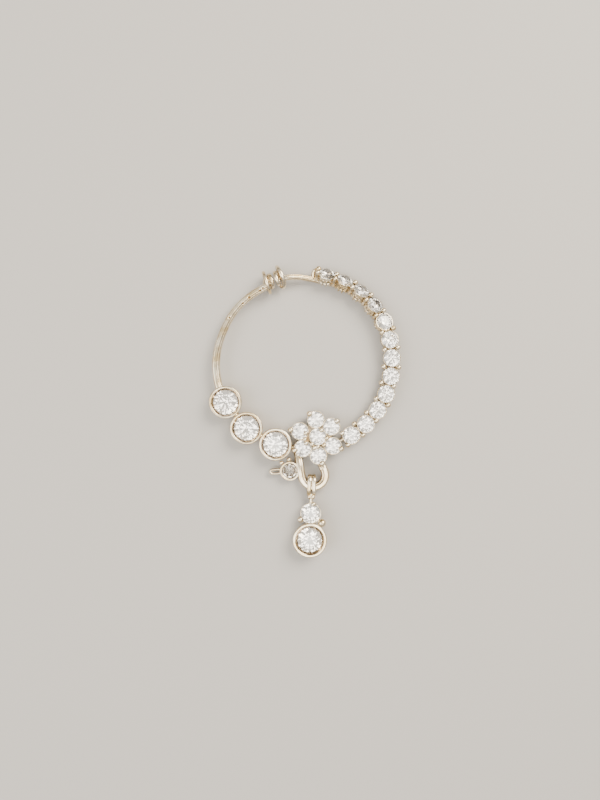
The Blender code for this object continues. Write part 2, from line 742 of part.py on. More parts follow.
def add_stones(parts, row, flower, petals, bezels, collet, upper, lower):
    stone = white_stone()
    row_cut = brilliant(ROW_STONE_WIDTH)
    petal_cut = brilliant(PETAL_STONE_WIDTH)
    bezel_cut = brilliant(BEZEL_STONE_WIDTH)
    for number, turn in enumerate(row, 1):
        place(f"row_stone_{number:02}", row_cut, parts, stone, row_seat(turn), smooth=False)
    lift = UP * (RAIL_HEIGHT + seat_rise(PETAL_STONE_WIDTH))
    place("flower_stone_center", petal_cut, parts, stone, Matrix.Translation(flower + lift), smooth=False)
    for number, spot in enumerate(petals, 1):
        seat = Matrix.Translation(spot + lift)
        place(f"petal_stone_{number}", petal_cut, parts, stone, seat, smooth=False)
    lift = UP * girdle_height_in_bezel()
    for number, spot in enumerate(bezels, 1):
        seat = Matrix.Translation(spot + lift)
        place(f"bezel_stone_{number}", bezel_cut, parts, stone, seat, smooth=False)
    place("drop_stone_lower", bezel_cut, parts, stone, Matrix.Translation(lower + lift), smooth=False)
    seat = Matrix.Translation(upper + UP * (RAIL_HEIGHT + seat_rise(DROP_STONE_WIDTH)))
    place("drop_stone_upper", brilliant(DROP_STONE_WIDTH), parts, stone, seat, smooth=False)
    table = CROWN_SHARE * COLLET_STONE_WIDTH + GIRDLE_SHARE * COLLET_STONE_WIDTH / 2
    seat = Matrix.Translation(collet + UP * (COLLET_FLOOR + table)) @ Matrix.Rotation(math.pi, 4, "X")
    place("collet_stone", brilliant(COLLET_STONE_WIDTH), parts, stone, seat, smooth=False)


def carry(name, parts, helpers):
    """Parents all to an empty, and moves it so that the origin is the middle of the part's underside."""
    graph = bpy.context.evaluated_depsgraph_get()
    low = Vector((math.inf, math.inf, math.inf))
    high = -low
    for part in parts.objects:
        solid = part.evaluated_get(graph)
        for vertex in solid.data.vertices:
            point = solid.matrix_world @ vertex.co
            low = Vector(map(min, low, point))
            high = Vector(map(max, high, point))
    carrier = bpy.data.objects.new(name, None)
    parts.objects.link(carrier)
    for obj in [*parts.objects, *(piece for helper in helpers for piece in helper.objects)]:
        if obj is not carrier:
            obj.parent = carrier
    carrier.location = (-(low.x + high.x) / 2, -(low.y + high.y) / 2, -low.z)


def main():
    clear_scene()
    parts = new_collection("nose_ring_parts")
    hoop_pieces = new_collection("hoop_solder_pieces")
    drop_pieces = new_collection("drop_solder_pieces")
    metal = silver()

    flower, pitch, petals = lay_out_flower()
    bezels, row = lay_out_ring(petals)
    add_rail(bezels[0], row, hoop_pieces, metal)
    bezel_middles = add_bezels(bezels, hoop_pieces, metal)
    add_row(row, hoop_pieces, metal)
    add_flower(flower, pitch, petals, hoop_pieces, metal)
    add_pads_and_wires(bezels[-1], row[-1], hoop_pieces, metal)
    root_turn = FLOWER_TURN - turn_for(LOOP_ROOT_SPREAD)
    loop, root, knee = add_loop(flower, petals[3], root_turn, hoop_pieces, metal)
    collet = add_collet(root, knee, hoop_pieces, metal)
    soldered("ring_frame", hoop_pieces, parts, metal)

    spot = loop + Vector((math.cos(HANG_TURN), math.sin(HANG_TURN), 0)) * LOOP_RADIUS
    hang = Matrix.Translation(spot) @ Matrix.Rotation(DROP_LEAN, 4, "Z")
    upper, lower = add_drop(hang, drop_pieces, metal)
    soldered("drop_frame", drop_pieces, parts, metal)

    add_stones(parts, row, flower, petals, bezel_middles, collet, upper, lower)
    carry("nose_ring", parts, (hoop_pieces, drop_pieces))


main()
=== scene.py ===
import math

import bpy
import numpy as np
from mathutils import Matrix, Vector


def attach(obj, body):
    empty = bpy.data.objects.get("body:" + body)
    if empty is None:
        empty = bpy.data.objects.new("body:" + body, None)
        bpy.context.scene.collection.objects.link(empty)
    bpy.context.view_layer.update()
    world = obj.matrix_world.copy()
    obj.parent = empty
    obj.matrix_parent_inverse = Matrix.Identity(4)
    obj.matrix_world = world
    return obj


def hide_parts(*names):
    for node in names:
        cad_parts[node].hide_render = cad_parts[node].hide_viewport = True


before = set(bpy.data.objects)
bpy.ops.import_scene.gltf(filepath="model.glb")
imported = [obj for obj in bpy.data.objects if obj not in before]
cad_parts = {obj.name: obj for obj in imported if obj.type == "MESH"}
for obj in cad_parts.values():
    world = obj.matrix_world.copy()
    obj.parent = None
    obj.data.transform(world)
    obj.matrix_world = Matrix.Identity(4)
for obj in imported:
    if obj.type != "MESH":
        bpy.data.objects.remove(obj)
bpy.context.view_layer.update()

# A clip-on nose ring lying face up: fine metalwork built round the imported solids, whose cut stones stay.
# Lengths are in millimetres until makePiece turns them to metres.
up = np.array([0.0, 0.0, 1.0])


# Small helpers for vectors and values

def unit(v):
    return v / np.linalg.norm(v, axis=-1, keepdims=True)


def facing(turn):  # level, at a turn from +X
    return np.array([math.cos(turn), math.sin(turn), 0.0])


def ease(share):  # from 0 to 1 with level ends
    share = np.clip(share, 0, 1)
    return share * share * (3 - 2 * share)


def rgb(code):
    # sRGB hex to linear: below 0.04045 a straight line, above it a power of 2.4
    s = np.array([int(code[i:i + 2], 16) for i in (1, 3, 5)]) / 255
    linear = np.where(s <= 0.04045, s / 12.92, ((s + 0.055) / 1.055) ** 2.4)
    return (*linear.tolist(), 1.0)


def soften(profile, cut, times=2, closed=True):
    # each corner is cut at a share of its two sides, and what is left is cut again
    for _ in range(times):
        after = np.roll(profile, -1, axis=0)
        pairs = np.stack([profile * (1 - cut) + after * cut, profile * cut + after * (1 - cut)], 1)
        if closed:
            profile = pairs.reshape(-1, profile.shape[1])
        else:
            inner = pairs[:-1].reshape(-1, profile.shape[1])
            profile = np.vstack([profile[:1], inner[1:-1], profile[-1:]])
    return profile


def curveThrough(points, count):
    # a cubic on each span, leaving every point along the line between its two neighbours
    points = np.asarray(points, float)
    p = np.vstack([2 * points[0] - points[1], points, 2 * points[-1] - points[-2]])
    place = np.linspace(0, len(points) - 1, count)
    i = np.minimum(place.astype(int), len(points) - 2)
    f = (place - i)[:, None]
    a, b, c, d = p[i], p[i + 1], p[i + 2], p[i + 3]
    return 0.5 * (2 * b + (c - a) * f + (2 * a - 5 * b + 4 * c - d) * f**2 + (3 * b - a - 3 * c + d) * f**3)


def waviness(turn, size, seed):
    # a few slow sines round a turned piece, as a hand-finished casting has
    return size * (np.sin(2 * turn + seed) + 0.6 * np.sin(3 * turn + 2.1 * seed)
                   + 0.4 * np.sin(5 * turn + 3.7 * seed))


# Surfaces: each is a grid of points (rows, columns), made a closed shell

def shell(grid, wrapRows=False, paintedShade=0.0):
    # quads between neighbouring rows and columns; columns always wrap, rows wrap or end in a fan; each point
    #     # carries a share of painted shade, for grooves and recesses
    rows, columns, _ = grid.shape
    r = np.arange(rows if wrapRows else rows - 1)[:, None]
    c = np.arange(columns)[None, :]
    nextRow, nextColumn = (r + 1) % rows, (c + 1) % columns
    quads = np.stack([r * columns + c, r * columns + nextColumn, nextRow * columns + nextColumn,
                      nextRow * columns + c], -1).reshape(-1, 4)
    points = grid.reshape(-1, 3)
    shadeValues = np.broadcast_to(paintedShade, grid.shape[:2]).reshape(-1)
    fans = np.empty((0, 3), int)
    if not wrapRows:
        middles = np.stack([grid[0].mean(0), grid[-1].mean(0)])
        last = (rows - 1) * columns
        one = np.arange(columns)
        two = (one + 1) % columns
        first = np.stack([two, one, np.full(columns, len(points))], 1)
        end = np.stack([last + one, last + two, np.full(columns, len(points) + 1)], 1)
        fans = np.vstack([first, end])
        points = np.vstack([points, middles])
        shadeValues = np.append(shadeValues, [shadeValues[0], shadeValues[-1]])
    corners = points[np.vstack([quads[:, :3], quads[:, [0, 2, 3]], fans])]
    volume = np.einsum("ij,ij->", corners[:, 0], np.cross(corners[:, 1], corners[:, 2]))
    if volume < 0:  # faces point outwards
        quads, fans = quads[:, ::-1], fans[:, ::-1]
    return points, quads, fans, shadeValues


def sweptGrid(path, width, height, toward=up, section=None, sides=20, wrap=False, roundEnds=False):
    # each path point carries the section, stretched by width across and height along "toward"
    path = np.asarray(path, float)
    ahead = np.roll(path, -1, 0) - np.roll(path, 1, 0) if wrap else np.gradient(path, axis=0)
    ahead = unit(ahead)
    toward = np.broadcast_to(np.asarray(toward, float), path.shape)
    across = unit(np.cross(ahead, toward))
    top = np.cross(across, ahead)
    if section is None:
        turn = np.linspace(0, 2 * math.pi, sides, endpoint=False)
        section = np.stack([np.cos(turn), np.sin(turn)], 1)
    width = np.broadcast_to(np.asarray(width, float), len(path)).copy()
    height = np.broadcast_to(np.asarray(height, float), len(path)).copy()
    if roundEnds:  # the ends close like a ball
        length = np.concatenate([[0], np.cumsum(np.linalg.norm(np.diff(path, axis=0), axis=1))])
        near = np.minimum(length, length[-1] - length)
        reach = np.maximum(width, height) / 2
        cap = np.sqrt(np.clip(1 - (1 - np.clip(near / reach, 0, 1)) ** 2, 0.0025, 1))
        width, height = width * cap, height * cap
    return (path[:, None] + across[:, None] * section[None, :, :1] * width[:, None, None] / 2
            + top[:, None] * section[None, :, 1:] * height[:, None, None] / 2)


def swept(path, width, height, wrap=False, **look):
    return shell(sweptGrid(path, width, height, wrap=wrap, **look), wrap)


def turnedShell(profile, axes, middle, steps=48, closed=False, wobble=0.0, seed=0.0, paintedShade=0.0):
    # the profile's (radius, height) points at every turn round the local axis
    profile = np.asarray(profile, float)
    turn = np.linspace(0, 2 * math.pi, steps, endpoint=False)[None, :]
    radius = np.maximum(profile[:, :1], 0.004) * (1 + waviness(turn, wobble, seed))
    local = np.stack([radius * np.cos(turn), radius * np.sin(turn),
                      np.broadcast_to(profile[:, 1:], radius.shape)], -1)
    return shell(local @ axes.T + middle, closed, np.broadcast_to(paintedShade, len(profile))[:, None])


def bead(middle, radius, axes=np.eye(3), flat=1.0, steps=20):
    # a half circle turned about the local axis
    angle = np.linspace(-math.pi / 2, math.pi / 2, steps // 2 + 1)
    profile = np.stack([radius * np.cos(angle), radius * flat * np.sin(angle)], 1)
    return turnedShell(profile, axes, np.asarray(middle, float), steps)


def makePiece(name, shells, material, replaced):
    sizes = np.cumsum([0] + [len(s[0]) for s in shells])
    points = np.concatenate([s[0] for s in shells]) * 0.001
    quads = np.concatenate([s[1] + start for s, start in zip(shells, sizes)])
    fans = np.concatenate([s[2] + start for s, start in zip(shells, sizes)])
    mesh = bpy.data.meshes.new(name)
    mesh.from_pydata(points, [], quads.tolist() + fans.tolist())
    # each point's share of painted shade, read by the plate material
    shadeValues = mesh.attributes.new("paintedShade", "FLOAT", "POINT")
    shadeValues.data.foreach_set("value", np.concatenate([s[3] for s in shells]))
    mesh.shade_smooth()
    mesh.set_sharp_from_angle(angle=math.radians(38))
    mesh.materials.append(material)
    piece = bpy.data.objects.new(name, mesh)
    bpy.context.scene.collection.objects.link(piece)
    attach(piece, "root")
    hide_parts(replaced)
    print("made", name, len(points), "points")


# Where the stones are

culetShare = 0.435  # how far the girdle lies above the culet, as a share of the stone's width


def stoneSeat(node):
    # the corners spread least along the stone's axis, and the culet is the end that reaches furthest
    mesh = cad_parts[node].data
    corners = np.empty(len(mesh.vertices) * 3, np.float32)
    mesh.vertices.foreach_get("co", corners)
    corners = np.unique(np.round(corners.reshape(-1, 3).astype(float) * 1000, 3), axis=0)
    middle = corners.mean(0)
    axis = np.linalg.svd(corners - middle)[2][2]
    height = (corners - middle) @ axis
    if height.max() > -height.min():
        axis, height = -axis, -height
    radius = np.linalg.norm(corners - middle - height[:, None] * axis, axis=1).max()
    middle = middle + axis * (height.min() + culetShare * 2 * radius)
    return {"middle": middle, "axis": axis, "radius": radius}


def seatAxes(axis, toward):
    # columns: across, along, axis; "toward" is about the across direction
    across = unit(toward - axis * (toward @ axis))
    return np.stack([across, np.cross(axis, across), axis], 1)


hoop = {"middle": np.zeros(3), "halfWidth": 14.08, "halfHeight": 13.73, "meanRadius": 13.9,
        "flowerTurn": math.radians(280.4), "flowerInset": 1.76}


def hoopDirections(turn):
    # along the oval is its derivative, and outwards is that turned a quarter
    turn = np.asarray(turn, float)
    along = unit(np.stack([-hoop["halfWidth"] * np.sin(turn), hoop["halfHeight"] * np.cos(turn),
                           np.zeros_like(turn)], -1))
    return np.stack([along[..., 1], -along[..., 0], np.zeros_like(turn)], -1), along


def hoopPoint(turn, outset=0.0, height=0.0):
    turn, outset, height = np.broadcast_arrays(np.asarray(turn, float), outset, height)
    oval = np.stack([hoop["halfWidth"] * np.cos(turn), hoop["halfHeight"] * np.sin(turn), height], -1)
    return hoop["middle"] + oval + hoopDirections(turn)[0] * outset[..., None]


def hoopTurn(point):
    return math.atan2((point[1] - hoop["middle"][1]) / hoop["halfHeight"],
                      (point[0] - hoop["middle"][0]) / hoop["halfWidth"])


rowSeats = [stoneSeat(f"row_stone_{i:02}") for i in range(1, 13)]
bezelSeats = [stoneSeat(f"bezel_stone_{i}") for i in range(1, 4)]
flowerSeat = stoneSeat("flower_stone_center")
petalSeats = [stoneSeat(f"petal_stone_{i}") for i in range(1, 7)]
colletSeat = stoneSeat("collet_stone")
upperSeat = stoneSeat("drop_stone_upper")
lowerSeat = stoneSeat("drop_stone_lower")
hoop["middle"] = flowerSeat["middle"] * (1, 1, 0) - hoopPoint(hoop["flowerTurn"], -hoop["flowerInset"])
rowTurns = np.array([hoopTurn(s["middle"]) for s in rowSeats])
bezelTurns = np.array([hoopTurn(s["middle"]) for s in bezelSeats]) % (2 * math.pi)
print("found", len(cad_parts), "nodes")


# Materials

def addNode(tree, kind, settings, links):
    node = tree.nodes.new("ShaderNode" + kind)
    for name, value in settings.items():
        if name in node.inputs:
            node.inputs[name].default_value = value
        else:
            setattr(node, name, value)
    for name, source in links.items():
        tree.links.new(source, node.inputs[name])
    return node


def joined(tree, operation, *parts):
    # a math node fed by links or plain numbers, in order
    node = addNode(tree, "Math", {"operation": operation}, {})
    for socket, part in zip(node.inputs, parts):
        if isinstance(part, float):
            socket.default_value = part
        else:
            tree.links.new(part, socket)
    return node.outputs["Value"]


def newMaterial(name):
    material = bpy.data.materials.new(name)
    material.use_nodes = True
    return material, material.node_tree, material.node_tree.nodes["Principled BSDF"]


plateLook = {
    "light": "#EEE1C8",  # where it is rubbed bright
    "deep": "#D5BF95",  # yellower where the plate is thinner
    # painted shade: the dark colour laid into grooves, dents, pits, bezel walls and near the floor
    "paintedShade": "#7E6342",
    "roughness": (0.12, 0.30),
    "patchSize": 2.4,  # mm
    "scratchSize": 0.09,
    "scratchShare": 0.12,  # how deep beside the slow waves of hand polishing
    "waveSize": 0.55,
    "dullSize": 0.8,
    "pitSize": 0.45,
    "pitGroupSize": 1.1,
    # painted shade near the floor, fading out between these heights, at this strength
    "shadeBelow": (0.2, 1.5),  # mm above the floor
    "shadeStrength": 0.7,
}


def polishedSilverPlate(look):
    # silver-toned plate on cast and drawn brass, tumbled and hand polished: soft patches of yellower and
    # duller metal,
    #     # faint polishing lines and a few casting pits; painted shade darkens the pits, grooves, dents, bezel
    #     walls and the metal near the floor, which leaves the rounded edges bright
    material, tree, shader = newMaterial("polishedSilverPlateOnBrass")
    place = addNode(tree, "TexCoord", {}, {}).outputs["Object"]
    patch = addNode(tree, "TexNoise", {"Scale": 1000 / look["patchSize"], "Detail": 3.0, "Roughness": 0.6},
                    {"Vector": place}).outputs["Fac"]
    body = addNode(tree, "ValToRGB", {}, {"Fac": patch})
    body.color_ramp.elements[0].position = 0.38
    body.color_ramp.elements[0].color = rgb(look["deep"])
    body.color_ramp.elements[1].position = 0.58
    body.color_ramp.elements[1].color = rgb(look["light"])
    pits = addNode(tree, "TexVoronoi", {"Scale": 1000 / look["pitSize"], "feature": "F1"}, {"Vector": place})
    pitShare = addNode(tree, "MapRange", {"From Min": 0.06, "From Max": 0.13, "To Min": 1.0, "To Max": 0.0},
                       {"Value": pits.outputs["Distance"]}).outputs["Result"]
    rare = addNode(tree, "TexNoise", {"Scale": 1000 / look["pitGroupSize"], "Detail": 1.0},
                   {"Vector": place}).outputs["Fac"]
    rareShare = addNode(tree, "MapRange", {"From Min": 0.56, "From Max": 0.66},
                        {"Value": rare}).outputs["Result"]
    mask = joined(tree, "MULTIPLY", pitShare, rareShare)
    # painted shade: darker towards the floor, and in the grooves, dents and bezel walls that the shells mark
    height = addNode(tree, "SeparateXYZ", {}, {"Vector": place}).outputs["Z"]
    bottom, top = look["shadeBelow"]
    low = addNode(tree, "MapRange", {"From Min": bottom * 0.001, "From Max": top * 0.001,
                                     "To Min": look["shadeStrength"], "To Max": 0.0},
                  {"Value": height}).outputs["Result"]
    # painted shade that each shell marks on its points
    line = addNode(tree, "Attribute", {"attribute_name": "paintedShade"}, {}).outputs["Fac"]
    shadeMask = joined(tree, "MAXIMUM", low, line)
    shade = addNode(tree, "MixRGB", {"Color2": rgb(look["paintedShade"])},
                    {"Fac": shadeMask, "Color1": body.outputs["Color"]})
    # each casting pit is painted dark as well: painted shade in the pit
    mixed = addNode(tree, "MixRGB", {"Color2": rgb(look["paintedShade"])},
                    {"Fac": mask, "Color1": shade.outputs["Color"]})
    tree.links.new(mixed.outputs["Color"], shader.inputs["Base Color"])
    dull = addNode(tree, "TexNoise", {"Scale": 1000 / look["dullSize"], "Detail": 4.0, "Roughness": 0.65},
                   {"Vector": place}).outputs["Fac"]
    rough = addNode(tree, "MapRange", {"From Min": 0.3, "From Max": 0.7, "To Min": look["roughness"][0],
                                       "To Max": look["roughness"][1]}, {"Value": dull})
    tree.links.new(rough.outputs["Result"], shader.inputs["Roughness"])
    # polishing lines are finer than a pixel, so they are drawn further apart than real ones
    stretch = addNode(tree, "Mapping", {"Scale": (1.0, 0.25, 1.0), "Rotation": (0, 0, 0.6)}, {"Vector": place})
    lines = addNode(tree, "TexNoise", {"Scale": 1000 / look["scratchSize"], "Detail": 2.0},
                    {"Vector": stretch.outputs["Vector"]}).outputs["Fac"]
    waves = addNode(tree, "TexNoise", {"Scale": 1000 / look["waveSize"], "Detail": 2.0},
                    {"Vector": place}).outputs["Fac"]
    relief = joined(tree, "MULTIPLY_ADD", lines, look["scratchShare"], waves)
    sunk = joined(tree, "SUBTRACT", relief, mask)
    bump = addNode(tree, "Bump", {"Strength": 0.25, "Distance": 0.00002}, {"Height": sunk})
    tree.links.new(bump.outputs["Normal"], shader.inputs["Normal"])
    shader.inputs["Metallic"].default_value = 1.0
    return material


stoneLook = {
    "clear": "#FFFCF5",
    "clouded": "#FAF3EC",
    "cloudSize": 1.5,  # mm
    "roughness": (0.0, 0.04),
    "refraction": 2.16,
}


def cutZirconia(look):
    # colourless cubic zirconia, sawn, cut and polished: flat mirror-smooth facets that throw back the light
    # from inside, with the faintest cloud where the facets were handled
    material, tree, shader = newMaterial("cutAndPolishedCubicZirconia")
    place = addNode(tree, "TexCoord", {}, {}).outputs["Object"]
    cloud = addNode(tree, "TexNoise", {"Scale": 1000 / look["cloudSize"], "Detail": 2.0},
                    {"Vector": place}).outputs["Fac"]
    rough = addNode(tree, "MapRange", {"From Min": 0.35, "From Max": 0.7, "To Min": look["roughness"][0],
                                       "To Max": look["roughness"][1]}, {"Value": cloud})
    tree.links.new(rough.outputs["Result"], shader.inputs["Roughness"])
    tint = addNode(tree, "ValToRGB", {}, {"Fac": cloud})
    tint.color_ramp.elements[0].color = rgb(look["clear"])
    tint.color_ramp.elements[1].color = rgb(look["clouded"])
    tree.links.new(tint.outputs["Color"], shader.inputs["Base Color"])
    shader.inputs["IOR"].default_value = look["refraction"]
    shader.inputs["Transmission Weight"].default_value = 1.0
    return material


silver = polishedSilverPlate(plateLook)
zirconia = cutZirconia(stoneLook)
for name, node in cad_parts.items():
    for place in node.material_slots:
        place.material = zirconia if "stone" in name else silver
print("made materials")


# The plain wires

leftWire = {"width": (1.26, 1.22, 1.12), "height": 1.08, "level": 1.955, "padReach": 1.38, "fromStone": 0.45,
            "bends": ((200, 0.06), (178, -0.03), (157, -0.22), (140, -0.07), (128, -0.16), (114, -0.21)),
            "dents": ((0.965, -0.1), (0.935, -0.32), (0.83, -0.2), (0.76, -0.35), (0.60, 0.1)),
            "dentSize": 0.15, "dentDepth": 0.2}
rightWire = {"width": 0.92, "height": 0.88, "level": 1.955, "headLevel": 0.95, "padReach": 1.2,
             "intoHead": 1.05,
             "bends": ((104, 0.24), (98, 0.25), (92.6, 0.12), (86, -0.1), (78, -0.24))}
wireShape = {"groovePlace": 0.34, "grooveWidth": 0.12, "grooveDepth": 0.18, "top": 0.88, "innerFall": 0.06,
             "outerFall": 0.42, "lineShare": 0.8}


def wireSection(shape):
    # a circle cut by a broad flat facet and a narrow sloping one, with a fine line where they meet; also gives
    #     # the line's share of painted shade, which darkens the groove
    angle = np.linspace(0, 2 * math.pi, 64, endpoint=False)
    x, z = np.cos(angle), np.sin(angle)
    past = x - shape["groovePlace"]
    roof = shape["top"] - np.where(past < 0, -shape["innerFall"] * past, shape["outerFall"] * past)
    z = np.minimum(z, roof) - shape["grooveDepth"] * np.exp(-(past / shape["grooveWidth"]) ** 2) * (z > 0.5)
    return np.stack([x, z], 1), np.exp(-(past / shape["grooveWidth"]) ** 2) * (z > 0.4)


def bentPath(wire, turn, level):
    # the hoop's line, set in or out by the wire's bends
    turns, outsets = np.radians([b[0] for b in wire["bends"]]), [b[1] for b in wire["bends"]]
    order = np.argsort(turns)
    spread = np.interp(turn[:, None] + np.linspace(-0.13, 0.13, 9), turns[order], np.array(outsets)[order])
    return hoopPoint(turn, spread.mean(1), level)


def addLeftWire(wire):
    # the half-round band from the last bezel to the pad, with the pits that its casting left
    start = bezelTurns[2] - (bezelSeats[2]["radius"] + wire["fromStone"]) / hoop["meanRadius"]
    turn = np.linspace(start, pads["turn"] + wire["padReach"] / hoop["meanRadius"], 420)
    path = bentPath(wire, turn, wire["level"])
    width = np.interp(np.linspace(0, 1, len(turn)), (0, 0.5, 1), wire["width"])
    section, line = wireSection(wireShape)
    grid = sweptGrid(path, width, wire["height"], section=section)
    # painted shade along the groove line
    paintedShade = np.tile(line * wireShape["lineShare"], (len(turn), 1))
    out = hoopDirections(turn)[0]
    for share, side in wire["dents"]:
        i = int(share * (len(turn) - 1))
        spot = path[i] + out[i] * side * width[i] / 2
        near = np.linalg.norm((grid - spot)[..., :2], axis=-1) / wire["dentSize"]
        dent = np.exp(-near**2) * (grid[..., 2] > wire["level"])
        grid[..., 2] -= wire["dentDepth"] * dent
        # painted shade in each dent
        paintedShade = np.maximum(paintedShade, dent)
    return shell(grid, paintedShade=paintedShade)


def addRightWire(wire):
    # a thinner wire of the same kind, which slopes down to the foot of the last head
    start = pads["turn"] - wire["padReach"] / hoop["meanRadius"]
    turn = np.linspace(start, rowTurns[11] + wire["intoHead"] / hoop["meanRadius"], 160)
    share = (turn[0] - turn) / (turn[0] - turn[-1])
    level = wire["level"] + (wire["headLevel"] - wire["level"]) * ease(share)
    section, line = wireSection(wireShape)
    section = section * (-1, 1)  # this path runs the other way, so the narrow side stays outside
    grid = sweptGrid(bentPath(wire, turn, level), wire["width"], wire["height"], section=section)
    # painted shade along the groove line
    return shell(grid, paintedShade=line * wireShape["lineShare"])


# The spiral pads

pads = {"turn": math.radians(109.5), "outset": 0.3, "level": 1.955, "smallTurns": 1.1, "curlTurns": 0.22,
        "change": 0.3, "tailTurns": 0.34, "tail": 0.42, "flat": (0.7, 0.85),
        "sides": (
            {"name": "leftSpiralPad", "side": 1, "changeTurn": -math.pi / 2, "bigTurns": 1.0, "across": 0.45,
             "along": 0.50, "smallRadius": 1.04, "smallReach": 0.58, "smallLean": 0.22, "bigRadius": 1.71,
             "bigReach": 1.24, "bigLean": 0.02, "slant": 0.0, "shift": 0.0, "bulge": 0.0,
             "wireOutset": -0.5},
            {"name": "rightSpiralPad", "side": -1, "changeTurn": math.pi, "bigTurns": 0.75, "across": 0.46,
             "along": 0.56, "smallRadius": 1.16, "smallReach": 0.56, "smallLean": 0.12, "bigRadius": 1.54,
             "bigReach": 1.38, "bigLean": -0.02, "slant": 0.14, "shift": 0.33, "bulge": 0.42,
             "wireOutset": -0.05})}


def flatSection(x, y):
    # an ellipse with its sides pressed flat: each coordinate of the circle to a power below one
    angle = np.linspace(0, 2 * math.pi, 24, endpoint=False)
    c, s = np.cos(angle), np.sin(angle)
    return np.stack([np.sign(c) * np.abs(c) ** x, np.sign(s) * np.abs(s) ** y], 1)


def addPad(pad):
    # a flattened wire wound in a small ring, then in a big one, whose end turns into the hoop's wire;
    # the radius, reach and lean ease from the small ring's to the big one's at changeTurn
    outward, along = hoopDirections(pads["turn"])
    middle = hoopPoint(pads["turn"], pads["outset"], pads["level"])
    ringEnd = pads["smallTurns"] + pad["bigTurns"]
    t = np.linspace(0, ringEnd + pads["tailTurns"], 270)
    change = ease((t - pads["smallTurns"]) / pads["change"] + 0.5)
    tail = ease((t - ringEnd) / pads["tailTurns"])
    spin = pad["changeTurn"] + pad["side"] * 2 * math.pi * (t - pads["smallTurns"])
    small = pad["smallRadius"] * (0.55 + 0.45 * ease(t / pads["curlTurns"]))
    radius = small + (pad["bigRadius"] - small) * change + pad["bulge"] * np.sin(math.pi * change) ** 2
    lean = pad["smallLean"] + (pad["bigLean"] - pad["smallLean"]) * change
    reach = pad["smallReach"] + (pad["bigReach"] - pad["smallReach"]) * change
    reach = reach - radius * np.sin(spin) * np.sin(lean) + pads["tail"] * tail
    out = (pad["shift"] * change + radius * np.cos(spin)) * (1 - tail) + pad["wireOutset"] * tail
    rise = radius * np.sin(spin) * (1 - tail)
    reach = reach - pad["slant"] * change * out * (1 - tail)
    path = middle + along * (pad["side"] * reach)[:, None] + outward * out[:, None] + up * rise[:, None]
    radial = unit(outward * np.cos(spin)[:, None] + up * np.sin(spin)[:, None])
    return swept(path, pad["along"], pad["across"], toward=radial, section=flatSection(*pads["flat"]),
                 roundEnds=True)


makePiece("plainWires", [addLeftWire(leftWire), addRightWire(rightWire)], silver, "ring_frame")
for pad in pads["sides"]:
    makePiece(pad["name"], [addPad(pad)], silver, "ring_frame")


# The bezels

# "wall" is the share of painted shade on the wall inside the lip, beside the stone
bezel = {"outer": 2.6, "foot": 2.36, "lip": 0.36, "rise": 0.5, "back": 0.3, "ledge": 0.03, "wobble": 0.004,
         "wall": 0.75, "neckWidth": 0.95, "neckFlare": 0.75, "neckHeight": 1.5, "neckRise": 0.3,
         "neckLevel": 1.45, "neckInto": 0.45}


def bezelShell(seat, look, seed):
    # the cup's profile from the middle of its pocket, over the lip, down the wall to the middle of its back
    girdle = seat["middle"][2]
    stone = seat["radius"]
    rim = girdle + look["rise"]
    inside = [(0.0, look["back"]), (0.32, look["back"]), (stone * 0.86, girdle - 0.38),
              (stone + 0.03, girdle - 0.13), (stone + 0.04, girdle + 0.05),
              (stone + 0.05 + look["ledge"], girdle + 0.12), (look["outer"] - look["lip"] - 0.06, rim - 0.14),
              (look["outer"] - look["lip"], rim - 0.02)]
    outside = [(look["outer"] - 0.12, rim), (look["outer"], rim - 0.11), (look["outer"] - 0.01, rim - 0.4),
               (look["foot"] + 0.06, 0.3), (look["foot"], 0.07), (look["foot"] - 0.08, 0.0), (0.0, 0.0)]
    profile = soften(np.array(inside + outside), 0.2, 2, closed=False)
    base = seat["middle"] * (1, 1, 0)
    # painted shade on the wall inside the lip, down to the stone
    inner = (profile[:, 0] < look["outer"] - look["lip"] - 0.02) & (profile[:, 1] > girdle - 0.2)
    return turnedShell(profile, np.eye(3), base, 96, wobble=look["wobble"], seed=seed,
                       paintedShade=inner * look["wall"])


def neckShell(one, two, look):
    # a bar of solder between two walls, thinnest half way and flared like a fillet at both ends
    share = np.linspace(0, 1, 25)
    way = unit(two - one)
    inset = look["outer"] - look["neckInto"]
    start, end = one + way * inset, two - way * inset
    path = start + (end - start) * share[:, None]
    path[:, 2] = look["neckLevel"]
    flare = (2 * share - 1) ** 4
    return swept(path, look["neckWidth"] + look["neckFlare"] * flare,
                 look["neckHeight"] + look["neckRise"] * flare, sides=24)


cups = [bezelShell(seat, bezel, 1.3 + i) for i, seat in enumerate(bezelSeats)]
necks = [neckShell(a["middle"], b["middle"], bezel) for a, b in zip(bezelSeats, bezelSeats[1:])]
makePiece("bezelCups", cups + necks, silver, "ring_frame")


# The row of heads

rail = {"width": 0.7, "level": 0.372, "depth": 1.6245, "pastHead": 0.6, "intoBezel": 0.31, "spacing": 2.9}


def addRail(look):
    # a round wire under the flower and the row, through the foot of every head
    start = bezelTurns[0] - 2 * math.pi + (bezel["foot"] - look["intoBezel"]) / hoop["meanRadius"]
    count = round((rowTurns[0] - start) * hoop["meanRadius"] / look["spacing"])
    before = hoopPoint(np.linspace(start, rowTurns[0], count + 1)[:-1], 0, look["level"])
    feet = np.array([s["middle"] - s["axis"] * look["depth"] for s in rowSeats])
    after = feet[-1] + (feet[-1] - feet[-2]) * look["pastHead"]
    path = curveThrough(np.vstack([before, feet, after]), 260)
    return swept(path, look["width"], look["width"], sides=20, roundEnds=True)


head = {"collar": 0.11, "collarRise": 0.03, "collarDepth": 0.44, "ringRadius": 0.84, "ringDepth": 0.66,
        "ringWidth": 0.22, "bars": 14, "barWidth": 0.34, "barDepth": 0.30, "footRadius": 0.70,
        "footSpread": 0.40, "fullLean": 0.7}  # the sine of the lean at which the feet spread in full
headDepths = {"row": 1.56, "flower": 1.5, "drop": 1.6}  # from the girdle down to the feet


